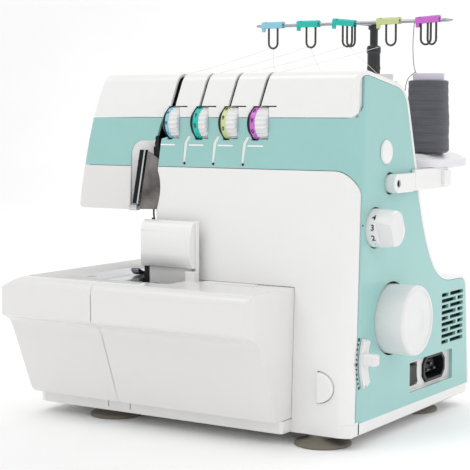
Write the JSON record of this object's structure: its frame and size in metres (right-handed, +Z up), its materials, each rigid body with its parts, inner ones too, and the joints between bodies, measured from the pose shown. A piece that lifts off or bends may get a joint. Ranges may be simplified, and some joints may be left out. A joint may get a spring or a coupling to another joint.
{
  "type": "serger overlock machine",
  "caption": "Four-thread overlock sewing machine with a sewing head over an open bed, a fold-down looper cover, side controls, a rear spool tray and a telescopic thread guide.",
  "frame": {"origin": "centre of the whole machine's footprint box, at table height", "axes": "+X to the operator's right, +Y away from the operator, +Z up"},
  "size_m": [0.32, 0.278, 0.3346],
  "materials": {
    "white_plastic": "smooth glossy moulded",
    "mint_plastic": "smooth glossy moulded",
    "pale_grey_plastic": "satin moulded",
    "bed_paint": "smooth satin paint",
    "black_plastic": "satin moulded",
    "foot_rubber": "matte",
    "belt_rubber": "matte",
    "steel": "polished",
    "chrome": "bright",
    "casting": "cast",
    "thread_grey": "wound polyester thread",
    "thread_white": "wound polyester thread",
    "light_blue_plastic": "smooth",
    "teal_plastic": "smooth",
    "lime_plastic": "smooth",
    "purple_plastic": "smooth"
  },
  "bodies": {
    "casing": {"base_tray": "white_plastic", "foot_front_left": "foot_rubber", "foot_rear_left": "foot_rubber", "foot_front_right": "foot_rubber", "foot_rear_right": "foot_rubber", "bed_plate": "bed_paint", "needle_plate": "steel", "top_cover": "white_plastic", "tension_fascia": "mint_plastic", "front_plate": "white_plastic", "head_shell": "white_plastic", "rear_cover": "white_plastic", "side_panel": "mint_plastic", "side_cap": "white_plastic", "inlet_panel": "pale_grey_plastic", "mains_inlet": "black_plastic", "face_plate": "steel", "lower_knife": "steel", "main_frame": "casting", "motor": "black_plastic", "drive_belt": "belt_rubber", "stand_frame": "white_plastic", "spool_tray": "pale_grey_plastic", "mast_outer": "black_plastic", "grey_thread": "thread_grey"},
    "looper_cover": {"looper_cover": "white_plastic"},
    "knife_guard": {"knife_guard": "white_plastic"},
    "bed_extension": {"bed_extension": "white_plastic"},
    "cover_button": {"cover_button": "white_plastic"},
    "drive": {"handwheel": "white_plastic", "main_shaft": "steel"},
    "motor_pulley": {"motor_pulley": "steel"},
    "needle_bar": {"needle_bar": "steel", "needle_left": "chrome", "needle_right": "chrome"},
    "presser": {"presser_bar": "steel", "presser_foot": "chrome"},
    "presser_lifter": {"presser_lifter": "white_plastic"},
    "upper_knife": {"upper_knife": "steel"},
    "upper_looper": {"upper_looper": "steel"},
    "lower_looper": {"lower_looper": "steel"},
    "feed_dog": {"feed_dog": "steel"},
    "stitch_length_dial": {"stitch_length_dial": "white_plastic"},
    "feed_lever": {"feed_lever": "white_plastic"},
    "power_switch": {"power_switch": "black_plastic"},
    "thread_guides": {"mast_inner": "black_plastic", "thread_guide_wire": "chrome", "guide_clip_1": "light_blue_plastic", "guide_clip_2": "teal_plastic", "guide_clip_3": "teal_plastic", "guide_clip_4": "lime_plastic", "guide_clip_5": "purple_plastic"},
    "tension_dial_blue": {"tension_dial_blue": "light_blue_plastic"},
    "tension_dial_teal": {"tension_dial_teal": "teal_plastic"},
    "tension_dial_lime": {"tension_dial_lime": "lime_plastic"},
    "tension_dial_purple": {"tension_dial_purple": "purple_plastic"},
    "thread_spool_1": {"thread_spool_1": "thread_grey"},
    "thread_spool_2": {"thread_spool_2": "thread_white"},
    "thread_spool_3": {"thread_spool_3": "thread_white"},
    "thread_spool_4": {"thread_spool_4": "thread_white"}
  },
  "joints": [
    {"name": "looper_cover_hinge", "type": "hinge", "parent": "casing", "child": "looper_cover", "pos_m": [0.012, -0.094, 0.02], "axis": [1, 0, 0], "range_deg": [0, 65]},
    {"name": "knife_guard_hinge", "type": "hinge", "parent": "looper_cover", "child": "knife_guard", "pos_m": [-0.0022, -0.081, 0.15], "axis": [0, 0, 1], "range_deg": [0, 90]},
    {"name": "bed_extension_slide", "type": "slide", "parent": "casing", "child": "bed_extension", "axis": [-1, 0, 0], "range_m": [0, 0.06]},
    {"name": "cover_button_press", "type": "slide", "parent": "casing", "child": "cover_button", "axis": [0, 1, 0], "range_m": [0, 0.003], "stiffness_N_per_m": 250},
    {"name": "handwheel_spin", "type": "hinge", "parent": "casing", "child": "drive", "pos_m": [0.056, -0.0135, 0.0935], "axis": [1, 0, 0], "continuous": true},
    {"name": "motor_pulley_spin", "type": "hinge", "parent": "casing", "child": "motor_pulley", "pos_m": [0.096, 0.099, 0.062], "axis": [1, 0, 0], "continuous": true},
    {"name": "needle_bar_slide", "type": "slide", "parent": "casing", "child": "needle_bar", "axis": [0, 0, 1], "range_m": [-0.026, 0]},
    {"name": "presser_lifter_hinge", "type": "hinge", "parent": "casing", "child": "presser_lifter", "pos_m": [-0.057, 0.041, 0.204], "axis": [0, 1, 0], "range_deg": [0, 80]},
    {"name": "presser_slide", "type": "slide", "parent": "casing", "child": "presser", "axis": [0, 0, 1], "range_m": [0, 0.006]},
    {"name": "upper_knife_slide", "type": "slide", "parent": "casing", "child": "upper_knife", "axis": [0, 0, 1], "range_m": [-0.008, 0]},
    {"name": "upper_looper_swing", "type": "hinge", "parent": "casing", "child": "upper_looper", "pos_m": [0.008, -0.069, 0.04], "axis": [0, 1, 0], "range_deg": [0, 14]},
    {"name": "lower_looper_swing", "type": "hinge", "parent": "casing", "child": "lower_looper", "pos_m": [0.032, -0.069, 0.04], "axis": [0, 1, 0], "range_deg": [0, 14]},
    {"name": "feed_dog_slide", "type": "slide", "parent": "casing", "child": "feed_dog", "axis": [0, 0, 1], "range_m": [-0.003, 0]},
    {"name": "tension_dial_blue_turn", "type": "hinge", "parent": "casing", "child": "tension_dial_blue", "pos_m": [-0.029, -0.061, 0.2465], "axis": [1, 0, 0], "range_deg": [-150, 150]},
    {"name": "tension_dial_teal_turn", "type": "hinge", "parent": "casing", "child": "tension_dial_teal", "pos_m": [-0.002, -0.061, 0.2465], "axis": [1, 0, 0], "range_deg": [-150, 150]},
    {"name": "tension_dial_lime_turn", "type": "hinge", "parent": "casing", "child": "tension_dial_lime", "pos_m": [0.025, -0.061, 0.2465], "axis": [1, 0, 0], "range_deg": [-150, 150]},
    {"name": "tension_dial_purple_turn", "type": "hinge", "parent": "casing", "child": "tension_dial_purple", "pos_m": [0.052, -0.061, 0.2465], "axis": [1, 0, 0], "range_deg": [-150, 150]},
    {"name": "stitch_length_dial_turn", "type": "hinge", "parent": "casing", "child": "stitch_length_dial", "pos_m": [0.136, -0.0425, 0.167], "axis": [1, 0, 0], "range_deg": [-120, 120]},
    {"name": "feed_lever_turn", "type": "hinge", "parent": "casing", "child": "feed_lever", "pos_m": [0.13, -0.0245, 0.065], "axis": [1, 0, 0], "range_deg": [-14, 14]},
    {"name": "power_switch_rock", "type": "hinge", "parent": "casing", "child": "power_switch", "pos_m": [0.122, 0.033, 0.041], "axis": [0, 1, 0], "range_deg": [0, 10]},
    {"name": "mast_slide", "type": "slide", "parent": "casing", "child": "thread_guides", "axis": [0, 0, 1], "range_m": [0, 0.1], "deforming": ["grey_thread"]},
    {"name": "thread_spool_1_spin", "type": "hinge", "parent": "casing", "child": "thread_spool_1", "pos_m": [0.126, 0.071, 0.24], "axis": [0, 0, 1], "continuous": true},
    {"name": "thread_spool_2_spin", "type": "hinge", "parent": "casing", "child": "thread_spool_2", "pos_m": [0.079, 0.071, 0.24], "axis": [0, 0, 1], "continuous": true},
    {"name": "thread_spool_3_spin", "type": "hinge", "parent": "casing", "child": "thread_spool_3", "pos_m": [0.025, 0.071, 0.24], "axis": [0, 0, 1], "continuous": true},
    {"name": "thread_spool_4_spin", "type": "hinge", "parent": "casing", "child": "thread_spool_4", "pos_m": [-0.022, 0.071, 0.24], "axis": [0, 0, 1], "continuous": true}
  ],
  "couplings": [
    {"joint": "motor_pulley_spin", "follows": "handwheel_spin", "ratio": 3.3333},
    {"joint": "presser_lifter_hinge", "follows": "presser_slide", "rad_per_m": 232}
  ]
}
